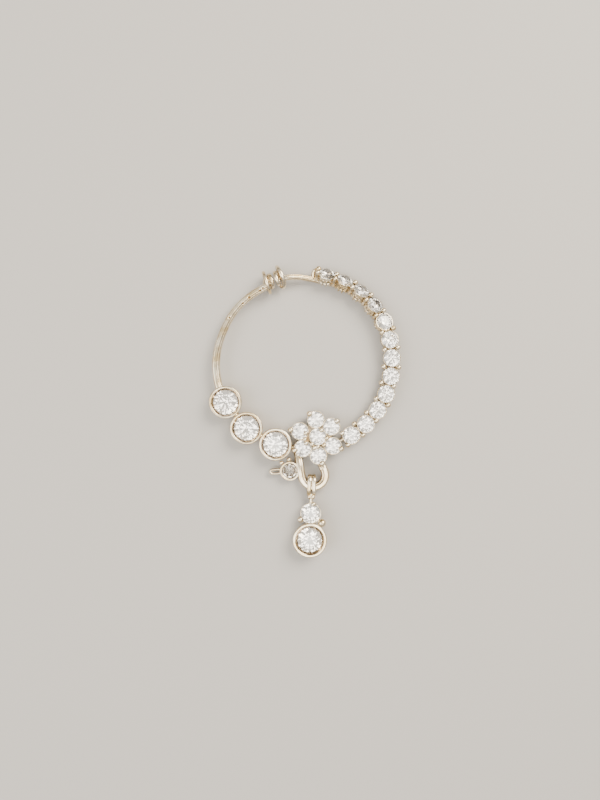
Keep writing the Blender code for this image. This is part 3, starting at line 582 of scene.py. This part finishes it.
def headShells(seat, toward, look, depth):
    # an open basket: a collar round the girdle, a lower ring, and bars that end in pointed feet below it;
    # where the head leans, the ring and feet spread on the side that it leans away from
    axes = seatAxes(seat["axis"], toward)
    stone = seat["radius"]
    outer = stone + look["collar"]
    low = -look["collarDepth"]
    collar = np.array([(outer - 0.03, look["collarRise"]), (outer, -0.05), (outer - 0.03, low),
                       (outer - 0.26, low), (stone - 0.06, -0.15), (stone + 0.015, -0.06),
                       (stone + 0.02, look["collarRise"])])
    shells = [turnedShell(soften(collar, 0.22, 1), axes, seat["middle"], 48, closed=True)]
    lean = np.linalg.norm(seat["axis"][:2]) / look["fullLean"]
    turn = np.linspace(0, 2 * math.pi, 48, endpoint=False)
    ringRadius = stone * (look["ringRadius"] + 0.5 * look["footSpread"] * lean * (1 - np.cos(turn)) / 2)
    ring = np.stack([ringRadius * np.cos(turn), ringRadius * np.sin(turn),
                     np.full(48, -depth * look["ringDepth"])], 1)
    shells.append(swept(ring @ axes.T + seat["middle"], look["ringWidth"], look["ringWidth"] * 1.2,
                        toward=seat["axis"], sides=12, wrap=True))
    share = np.linspace(0, 1, 11)
    height = low + 0.08 + (-depth - low - 0.08) * share
    width = look["barWidth"] * (1 - 0.6 * ease((share - 0.6) / 0.4))
    for i in range(look["bars"]):
        angle = 2 * math.pi * (i + 0.5) / look["bars"]
        away = lean * (1 - math.cos(angle)) / 2
        foot = stone * (look["footRadius"] + look["footSpread"] * away)
        middle = stone * (look["ringRadius"] + 0.5 * look["footSpread"] * away)
        radius = np.interp(share, [0, look["ringDepth"], 1], [outer - 0.17, middle, foot])
        out = facing(angle)
        path = (out * radius[:, None] + np.array([0, 0, 1.0]) * height[:, None]) @ axes.T + seat["middle"]
        shells.append(swept(path, width, look["barDepth"] * width / look["barWidth"], toward=out @ axes.T,
                            sides=10, roundEnds=True))
    return shells


# The reach of each joint's two claws from the row's middle, from the flower's end to the wire's end
rowClaw = {"foot": 0.56, "tip": 0.46, "ball": 0.41, "ballRise": 0.34, "flat": 0.9,
           "footReach": 0.62, "footDepth": 1.5, "kneeReach": 0.98, "kneeDepth": 0.55, "kneePast": 0.12,
           "pastEnds": (0.42, 0.5),  # of a pitch
           "outerReach": (0.86, 1.08, 0.90, 1.08, 0.82, 1.12, 1.08, 1.00, 0.72, 0.62, 0.60, 0.42, 0.56),
           "innerReach": (1.22, 1.20, 1.14, 1.12, 1.26, 1.28, 1.12, 1.08, 1.02, 0.98, 0.95, 0.95, 0.95),
           "hook": ((0.12, -0.12, 0.3), (0.36, 0.30, -0.15), (0.18, 0.54, -0.75), (-0.28, 0.38, -1.45)),
           "hookSizes": {"foot": 0.66, "tip": 0.58, "ball": 0.45}}


def clawShells(points, out, axis, look):
    # a wire through the points, a little thinner at its tip, and a flattened ball on the last one
    path = curveThrough(points, 8 * len(points))
    width = np.linspace(look["foot"], look["tip"], len(path))
    side = unit(np.cross(axis, out))
    return [swept(path, width * 0.9, width, toward=side, sides=14, roundEnds=True),
            bead(points[-1], look["ball"], seatAxes(axis, out), look["flat"])]


def standingClaw(seat, way, look):
    # from beside the head's foot, out past the girdle, and in to its ball, which lies "way" from the stone
    out = unit(way)
    points = [seat["middle"] + out * look["footOut"] - up * look["footBelow"],
              seat["middle"] + out * look["kneeOut"] - up * look["kneeBelow"],
              seat["middle"] + way + up * look["rise"]]
    return clawShells(np.array(points), out, up, look)


def rowJoints():
    # half way between neighbouring seats, and about half a pitch past both ends
    middles = np.array([s["middle"] for s in rowSeats])
    axes = np.array([s["axis"] for s in rowSeats])
    one, two = rowClaw["pastEnds"]
    ends = np.stack([middles[0] + one * (middles[0] - middles[1]),
                     middles[-1] + two * (middles[-1] - middles[-2])])
    spots = np.vstack([ends[:1], (middles[:-1] + middles[1:]) / 2, ends[1:]])
    leans = unit(np.vstack([axes[:1], axes[:-1] + axes[1:], axes[-1:]]))
    return spots, leans


def addRow(look):
    shells = []
    for seat in rowSeats:
        shells.append(headShells(seat, hoopDirections(hoopTurn(seat["middle"]))[0], head, headDepths["row"]))
    claws = []
    for i, (spot, lean) in enumerate(zip(*rowJoints())):
        out, along = hoopDirections(hoopTurn(spot))
        out = unit(out - lean * (out @ lean))
        for side, reach in ((1, look["outerReach"][i]), (-1, look["innerReach"][i])):
            if side > 0 and i == len(rowSeats):  # the last outer claw is a hook round the head's end
                points = [spot + out * a + along * b + lean * c for a, b, c in look["hook"][::-1]]
                sizes = look["hookSizes"]
            else:
                knee = min(look["kneeReach"], reach + look["kneePast"])
                points = [spot + out * side * look["footReach"] - lean * look["footDepth"],
                          spot + out * side * knee - lean * look["kneeDepth"],
                          spot + out * side * reach + lean * look["ballRise"]]
                sizes = {}
            claws += clawShells(np.array(points), out * side, lean, dict(look, **sizes))
    return shells, claws


headGroups, rowClaws = addRow(rowClaw)
makePiece("rowRail", [addRail(rail)], silver, "ring_frame")
for i, group in enumerate(headGroups, 1):
    makePiece(f"rowHead{i:02}", group, silver, "ring_frame")
makePiece("rowClaws", rowClaws, silver, "ring_frame")


# The flower

flower = {"plate": 2.6, "thickness": 0.5, "lobe": 0.5, "ball": 0.45, "bead": 0.38, "beadRise": 0.42,
          "post": 0.42,
          "claw": {"footOut": 0.9, "footBelow": 1.3, "kneeOut": 1.36, "kneeBelow": 0.5, "rise": 0.36},
          "outerBalls": ((-1.02, 0.92), (0.84, 0.88), (1.31, -0.46), (0.57, -1.24), (-1.31, -0.30),
                         (-1.44, 0.21)),
          "beads": ((0.54, 1.03), (-1.96, 0.55), (1.40, -0.25), (-2.09, -0.40), (-1.90, -1.05), (-0.99, -1.16),
                    (-0.56, -1.80), (-0.02, -1.60), (0.96, -1.34))}


def addFlower(look):
    # a scalloped plate, an open head on it for each stone, claws round the outside and beads between
    turn = np.linspace(0, 2 * math.pi, 96, endpoint=False)
    petalTurns = [math.atan2(*(s["middle"] - flowerSeat["middle"])[[1, 0]]) for s in petalSeats]
    swell = sum(np.exp(-(np.angle(np.exp(1j * (turn - p))) / 0.3) ** 2) for p in petalTurns)
    edge = look["plate"] + look["lobe"] * (swell - 0.5)
    rows = [(0.02, 0.0), (0.96, 0.0), (1.0, 0.16), (1.0, 0.84), (0.95, 1.0), (0.02, 1.0)]
    grid = np.stack([np.stack([edge * r * np.cos(turn), edge * r * np.sin(turn),
                               np.full(96, z * look["thickness"])], 1) for r, z in rows])
    shells = [shell(grid + flowerSeat["middle"] * (1, 1, 0))]
    for seat in [flowerSeat, *petalSeats]:
        toward = seat["middle"] - flowerSeat["middle"] + (0.01, 0, 0)
        shells += headShells(seat, toward, head, headDepths["flower"])
    claws = []
    clawLook = dict(rowClaw, ball=look["ball"], **look["claw"])
    for seat, (x, y) in zip(petalSeats, look["outerBalls"]):
        claws += standingClaw(seat, np.array([x, y, 0.0]), clawLook)
    level = petalSeats[0]["middle"][2]
    for x, y in look["beads"]:
        spot = flowerSeat["middle"] * (1, 1, 0) + (x, y, level + look["beadRise"])
        share = np.linspace(0, 1, 8)[:, None]
        post = spot - up * (level - 0.2) * (1 - share)
        claws.append(swept(post, look["post"], look["post"], toward=np.array([1.0, 0, 0]), sides=12))
        claws.append(bead(spot, look["bead"], flat=0.9))
    return shells, claws


flowerShells, flowerClaws = addFlower(flower)
makePiece("flowerHeads", flowerShells, silver, "ring_frame")
makePiece("flowerClaws", flowerClaws, silver, "ring_frame")


# The drop's loop, the small collet and the eyelet

# Its places are measured from the flower's middle
loop = {"wire": 1.04, "width": 1.3, "middle": (-0.69, -6.19), "radius": 1.92, "level": 1.27,
        "leftEnd": math.radians(196), "rightEnd": math.radians(398), "root": (-3.395, -1.835),
        "end": (0.255, -3.735), "leftLevels": (0.56, 0.85, 1.2), "rightLevels": (1.05, 0.7, 0.56)}
loopMiddle = flowerSeat["middle"] * (1, 1, 0) + (*loop["middle"], loop["level"])


def addLoop(look):
    # a round wire: up from under the flower, round the circle, and back under the last petal
    turn = np.linspace(look["leftEnd"], look["rightEnd"], 15)
    arc = loopMiddle + look["radius"] * np.stack([np.cos(turn), np.sin(turn), np.zeros(15)], 1)
    root, end = (flowerSeat["middle"] * (1, 1, 0) + (*look[name], 0.56) for name in ("root", "end"))
    left = root + (arc[0] - root) * np.array([0.0, 0.3, 0.62])[:, None]
    left[:, 2] = look["leftLevels"]
    right = arc[-1] + (end - arc[-1]) * np.array([0.35, 0.7, 1.0])[:, None]
    right[:, 2] = look["rightLevels"]
    path = curveThrough(np.vstack([left, arc, right]), 150)
    section, line = wireSection(wireShape)
    section = section * (-1, 1)  # its line is on the inside
    grid = sweptGrid(path, look["width"], look["wire"], section=section, roundEnds=True)
    # painted shade along the groove line
    return shell(grid, paintedShade=line)


collet = {"wall": 0.36, "low": 0.4, "high": 1.5, "clawTurns": (94, 135), "clawReach": 1.86,
          "claw": {"foot": 0.5, "tip": 0.4, "ball": 0.37},
          "eyeletTurn": 183, "eyeletLength": 2.05, "eyeletWidth": 1.1, "eyeletWire": 0.42}


def addCollet(look):
    # a short open tube round the stone, with two bent claws and an oval eye on its side
    middle = colletSeat["middle"] * (1, 1, 0)
    inner = colletSeat["radius"] + 0.07
    outer = inner + look["wall"]
    low, high = look["low"], look["high"]
    tube = np.array([(inner + 0.03, high), (outer - 0.05, high), (outer, high - 0.1),
                     (outer - 0.03, low + 0.08), (outer - 0.08, low), (inner, low), (inner, high - 0.2)])
    shells = [turnedShell(soften(tube, 0.2, 1), np.eye(3), middle, 56, closed=True, wobble=0.006, seed=2.0)]
    for turn in look["clawTurns"]:
        out = facing(math.radians(turn))
        points = [middle + out * (inner + 0.12) + up * (high - 0.5),
                  middle + out * (outer + 0.1) + up * (high - 0.2),
                  middle + out * look["clawReach"] + up * (high + 0.02)]
        shells += clawShells(np.array(points), out, up, dict(rowClaw, **look["claw"]))
    out = facing(math.radians(look["eyeletTurn"]))
    across = np.cross(up, out)
    half = (look["eyeletLength"] - look["eyeletWire"]) / 2
    width = (look["eyeletWidth"] - look["eyeletWire"]) / 2
    centre = middle + out * (outer + look["eyeletLength"] / 2 - 0.3) + up * (low + high) / 2
    turn = np.linspace(0, 2 * math.pi, 64, endpoint=False)
    x = np.cos(turn)
    length = (half - width) * np.tanh(4 * x) + width * x
    path = centre + out * length[:, None] + across * (width * np.sin(turn))[:, None]
    shells.append(swept(path, look["eyeletWire"], look["eyeletWire"] * 1.3, sides=16, wrap=True))
    return shells


makePiece("dropLoop", [addLoop(loop)], silver, "ring_frame")
makePiece("colletAndEyelet", addCollet(collet), silver, "ring_frame")


# The drop

drop = {"lean": math.radians(-2.07), "hangTurn": math.radians(260.4), "bailHeight": 2.5, "barWidth": 0.64,
        "barThickness": 0.46, "slit": (0.0, 0.2), "above": 2.05, "below": 1.5, "stem": 0.78, "beadWidth": 0.72,
        "flat": (0.62, 0.8), "beadApart": 0.26, "beadPast": 0.14, "beadRise": 0.25,
        "linkWidth": 1.2, "linkHeight": 0.8, "linkLevel": 0.8,
        "balls": ((0.36, 1.52, 0.40), (-1.62, -0.98, 0.48), (1.86, -1.42, 0.66)),
        "claw": {"footOut": 1.0, "footBelow": 1.3, "kneeOut": 1.5, "kneeBelow": 0.5, "rise": 0.28},
        "cup": dict(bezel, outer=2.72, foot=2.42, lip=0.42)}


def addBail(look, hang, along, across):
    # each bar is a flat band bent to an oval that stands on edge round the loop's wire
    shells = []
    half = (look["bailHeight"] - look["barThickness"]) / 2
    turn = np.linspace(0, 2 * math.pi, 72, endpoint=False)
    above, below = look["above"] - look["barThickness"] / 2, look["below"] - look["barThickness"] / 2
    x = np.cos(turn)
    straight = np.where(x > 0, above - half, below - half) * np.tanh(5 * np.abs(x)) * np.sign(x)
    for side in (-1, 1):
        apart = look["slit"][0] + (look["slit"][1] - look["slit"][0]) * ease((1 - x) / 2)
        path = (hang + across * (side * (look["barWidth"] + apart) / 2)[:, None]
                - along * (straight + half * x)[:, None] + up * (half * np.sin(turn))[:, None])
        shells.append(swept(path, look["barThickness"], look["barWidth"], toward=across,
                            section=flatSection(*look["flat"]), wrap=True))
    return shells


def addDrop(look):
    along = np.array([math.sin(look["lean"]), -math.cos(look["lean"]), 0.0])  # from the bail to the stones
    across = facing(look["lean"])
    hang = loopMiddle + loop["radius"] * facing(look["hangTurn"])
    bail = addBail(look, hang, along, across)
    # the stem narrows below its two beads and enters the upper head
    stemEnd = upperSeat["middle"] * (1, 1, 0) + up * 1.25 - along * (upperSeat["radius"] * 0.8)
    start = hang + along * (look["below"] - 0.3)
    path = curveThrough([start, start + (stemEnd - start) * 0.5, stemEnd], 21)
    share = np.linspace(0, 1, 21)
    metal = [swept(path, look["stem"] * (1 - 0.25 * np.sin(math.pi * share)), look["stem"] * 0.95, sides=20)]
    for side in (-1, 1):
        spot = hang + along * (look["below"] + look["beadPast"]) + across * side * look["beadApart"]
        metal.append(bead(spot + up * look["beadRise"], look["beadWidth"] / 2))
    metal += headShells(upperSeat, across, head, headDepths["drop"])
    for x, y, radius in look["balls"]:
        metal += standingClaw(upperSeat, across * x - along * y, dict(rowClaw, ball=radius, **look["claw"]))
    cup = [bezelShell(lowerSeat, look["cup"], 5.2)]
    # a low bar joins the head's foot to the bezel's wall
    a, b = (seat["middle"] * (1, 1, 0) + up * look["linkLevel"] for seat in (upperSeat, lowerSeat))
    path = a + (b - a) * np.linspace(0.15, 0.52, 12)[:, None]
    cup.append(swept(path, look["linkWidth"], look["linkHeight"], sides=20))
    return bail, metal, cup


bailShells, dropMetal, dropCup = addDrop(drop)
makePiece("dropBail", bailShells, silver, "drop_frame")
makePiece("dropHead", dropMetal, silver, "drop_frame")
makePiece("dropBezel", dropCup, silver, "drop_frame")


# The surface, the light and the camera

stage = {"half": 3.0, "colour": "#ADA9A4"}


def addStage(look):
    size = look["half"]
    mesh = bpy.data.meshes.new("paleFloor")
    corners = [(-size, -size, 0), (size, -size, 0), (size, size, 0), (-size, size, 0)]
    mesh.from_pydata(corners, [], [(0, 1, 2, 3)])
    material, tree, shader = newMaterial("mattPaperFloor")
    shader.inputs["Base Color"].default_value = rgb(look["colour"])
    shader.inputs["Roughness"].default_value = 0.9
    mesh.materials.append(material)
    floor = bpy.data.objects.new("paleFloor", mesh)
    bpy.context.scene.collection.objects.link(floor)


def addLight(name, place, size, power, colour):
    light = bpy.data.lights.new(name, "AREA")
    light.shape = "DISK"
    light.size = size
    light.energy = power
    light.color = rgb(colour)[:3]
    lamp = bpy.data.objects.new(name, light)
    bpy.context.scene.collection.objects.link(lamp)
    lamp.location = place
    aim = unit(np.array([0.0, 0.002, 0.0]) - np.array(place))
    lamp.rotation_euler = Vector(aim).to_track_quat("-Z", "Y").to_euler()


addStage(stage)
addLight("keySoftbox", (0.16, 0.17, 0.24), 0.22, 2.2, "#FFF6E6")
addLight("fillSoftbox", (-0.22, -0.05, 0.22), 0.24, 0.8, "#FFFDF8")
addLight("topSoftbox", (0.02, -0.10, 0.36), 0.2, 0.6, "#FFFAF0")

# The room is bright overhead and dimmer at its walls, which rounds every ball and wire
room = {"ceiling": "#FFFBF2", "walls": "#79746E", "brightness": 1.3, "share": (0.10, 0.80)}
world = bpy.data.worlds.new("softRoom")
world.use_nodes = True
bpy.context.scene.world = world
tree = world.node_tree
way = addNode(tree, "SeparateXYZ", {}, {"Vector": addNode(tree, "TexCoord", {}, {}).outputs["Generated"]})
share = addNode(tree, "MapRange", {"From Min": room["share"][0], "From Max": room["share"][1]},
                {"Value": way.outputs["Z"]})
shade = addNode(tree, "ValToRGB", {}, {"Fac": share.outputs["Result"]})
shade.color_ramp.elements[0].color = rgb(room["walls"])
shade.color_ramp.elements[1].color = rgb(room["ceiling"])
tree.links.new(shade.outputs["Color"], tree.nodes["Background"].inputs["Color"])
tree.nodes["Background"].inputs["Strength"].default_value = room["brightness"]

# Straight above, as a phone held over the ring: 100 mm away, 65 degrees over the picture's long side
phone = {"place": (-0.000828, 0.001608, 0.10195), "view": math.radians(65.2), "sensor": 36}
camera = bpy.data.cameras.new("phoneView")
camera.sensor_width = phone["sensor"]
camera.lens = phone["sensor"] / 2 / math.tan(phone["view"] / 2)
camera.clip_start = 0.005
eye = bpy.data.objects.new("phoneView", camera)
bpy.context.scene.collection.objects.link(eye)
eye.location = phone["place"]
bpy.context.scene.camera = eye
print("made stage, light and camera")
